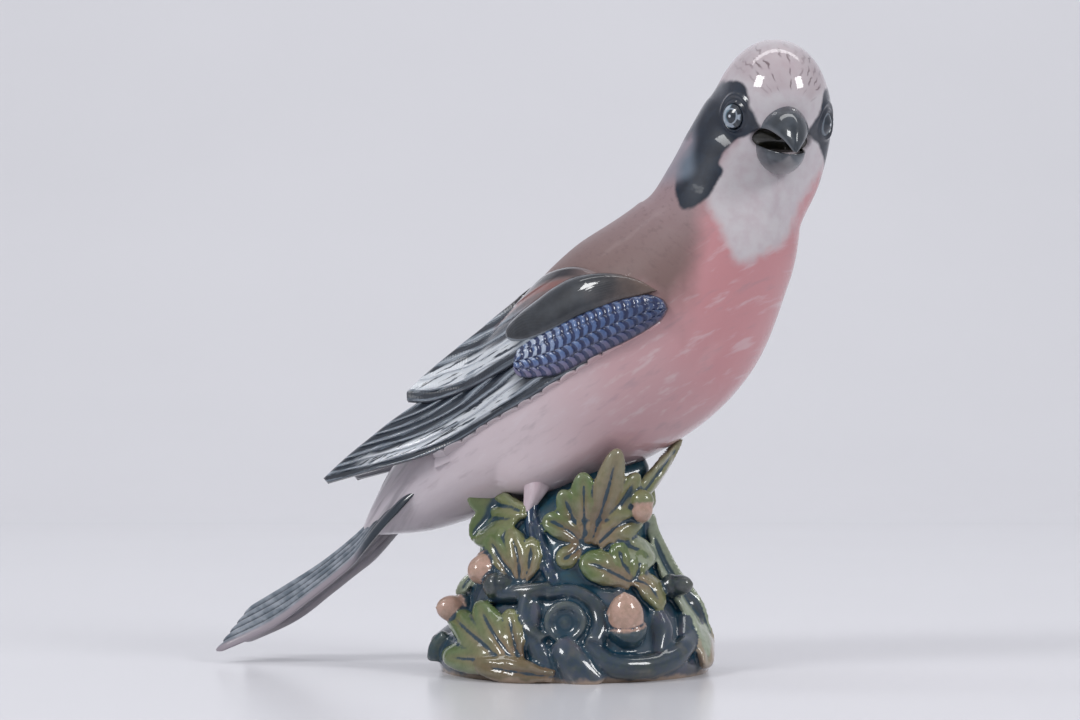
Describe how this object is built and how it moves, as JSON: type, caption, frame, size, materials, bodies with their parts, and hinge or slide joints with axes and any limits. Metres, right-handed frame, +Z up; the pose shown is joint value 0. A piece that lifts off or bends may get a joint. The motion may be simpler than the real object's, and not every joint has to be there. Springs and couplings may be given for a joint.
{
  "type": "jay figurine",
  "caption": "Porcelain figurine of a perched jay with its head turned, long tail, folded wings, on an oak stump with leaves and acorns.",
  "frame": {"origin": "middle of the flat underside of the stump", "axes": "+Z up; -Y towards the side from which the figurine is looked at; +X towards the breast, with the tail towards -X"},
  "size_m": [0.2071, 0.0953, 0.2085],
  "materials": {
    "glazed_porcelain": "hand-painted under a clear glossy glaze"
  },
  "bodies": {
    "root": {"jay_figurine": "glazed_porcelain"}
  },
  "joints": []
}
